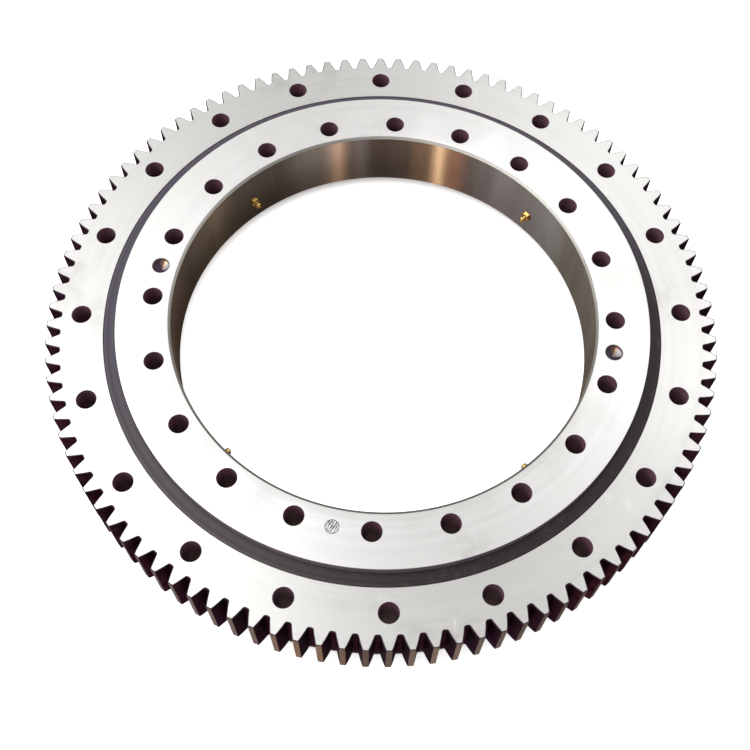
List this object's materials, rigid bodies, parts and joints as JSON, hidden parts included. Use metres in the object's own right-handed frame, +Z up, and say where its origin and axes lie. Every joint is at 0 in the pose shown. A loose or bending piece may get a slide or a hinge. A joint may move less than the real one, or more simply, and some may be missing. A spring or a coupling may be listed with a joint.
{
  "type": "slewing ring bearing",
  "caption": "Slewing ring bearing with an external gear: two bolted steel rings turn on each other over a hidden row of balls, with rubber seals and brass grease nipples.",
  "frame": {"origin": "centre of the outer ring's bottom mounting face, on the axis of rotation", "axes": "+Z up along the axis of rotation, from the outer ring's mounting face towards the inner ring's proud face; +Y towards the back of the pictured view, +X to its right"},
  "size_m": [0.6288, 0.6288, 0.08],
  "materials": {
    "ring_steel": "turned and ground steel, satin, lightly oiled",
    "bright_steel": "filed flush, with fine cross marks",
    "ball_steel": "lapped, mirror bright",
    "seal_rubber": "matte nitrile rubber",
    "brass": "turned, bright",
    "cage_plastic": "natural polyamide"
  },
  "bodies": {
    "outer_race": {"outer_ring": "ring_steel", "upper_seal": "seal_rubber"},
    "inner_race": {"inner_ring": "ring_steel", "lower_seal": "seal_rubber", "filling_plug": "bright_steel", "taper_pin": "bright_steel", "grease_nipple_1": "brass", "grease_nipple_2": "brass", "grease_nipple_3": "brass", "grease_nipple_4": "brass"},
    "ball_train": {"cage_segment_1": "cage_plastic", "cage_segment_2": "cage_plastic", "cage_segment_3": "cage_plastic", "cage_segment_4": "cage_plastic", "ball_01": "ball_steel", "ball_02": "ball_steel", "ball_03": "ball_steel", "ball_04": "ball_steel", "ball_05": "ball_steel", "ball_06": "ball_steel", "ball_07": "ball_steel", "ball_08": "ball_steel", "ball_09": "ball_steel", "ball_10": "ball_steel", "ball_11": "ball_steel", "ball_12": "ball_steel", "ball_13": "ball_steel", "ball_14": "ball_steel", "ball_15": "ball_steel", "ball_16": "ball_steel", "ball_17": "ball_steel", "ball_18": "ball_steel", "ball_19": "ball_steel", "ball_20": "ball_steel", "ball_21": "ball_steel", "ball_22": "ball_steel", "ball_23": "ball_steel", "ball_24": "ball_steel", "ball_25": "ball_steel", "ball_26": "ball_steel", "ball_27": "ball_steel", "ball_28": "ball_steel", "ball_29": "ball_steel", "ball_30": "ball_steel", "ball_31": "ball_steel", "ball_32": "ball_steel", "ball_33": "ball_steel", "ball_34": "ball_steel", "ball_35": "ball_steel", "ball_36": "ball_steel", "ball_37": "ball_steel", "ball_38": "ball_steel", "ball_39": "ball_steel", "ball_40": "ball_steel", "ball_41": "ball_steel", "ball_42": "ball_steel", "ball_43": "ball_steel", "ball_44": "ball_steel"}
  },
  "joints": [
    {"name": "inner_race_spin", "type": "hinge", "parent": "outer_race", "child": "inner_race", "pos_m": [0, 0, 0.04], "axis": [0, 0, 1], "continuous": true},
    {"name": "ball_train_orbit", "type": "hinge", "parent": "outer_race", "child": "ball_train", "pos_m": [0, 0, 0.04], "axis": [0, 0, 1], "continuous": true}
  ],
  "couplings": [
    {"joint": "ball_train_orbit", "follows": "inner_race_spin", "ratio": 0.4788}
  ]
}
